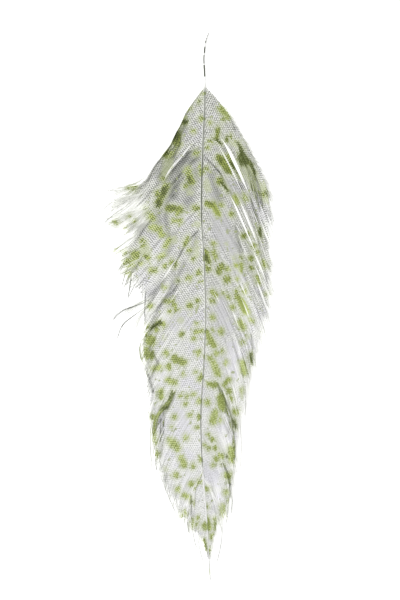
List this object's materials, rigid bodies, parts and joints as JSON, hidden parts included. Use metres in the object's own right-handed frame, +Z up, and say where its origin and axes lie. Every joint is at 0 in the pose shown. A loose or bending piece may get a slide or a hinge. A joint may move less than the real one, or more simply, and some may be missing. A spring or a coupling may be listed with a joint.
{
  "type": "schlappen feather",
  "caption": "Long soft tapering feather with a bare quill, loose-edged vanes split into locks and a pointed tip, pale grey-white with lime-green spots, lying flat.",
  "frame": {"origin": "on the surface that the feather lies on, under the middle of its bounding box", "axes": "+Y along the shaft towards the quill's end, -Y towards the tip, +X to the right when the outer face is seen from above with the quill away from the viewer, +Z up out of the outer face"},
  "size_m": [0.056, 0.1759, 0.0054],
  "materials": {
    "keratin": "soft matte keratin, grey-white, with irregular lime-green spots and a grey-green line along the shaft"
  },
  "bodies": {
    "root": {"feather": "keratin"}
  },
  "joints": []
}
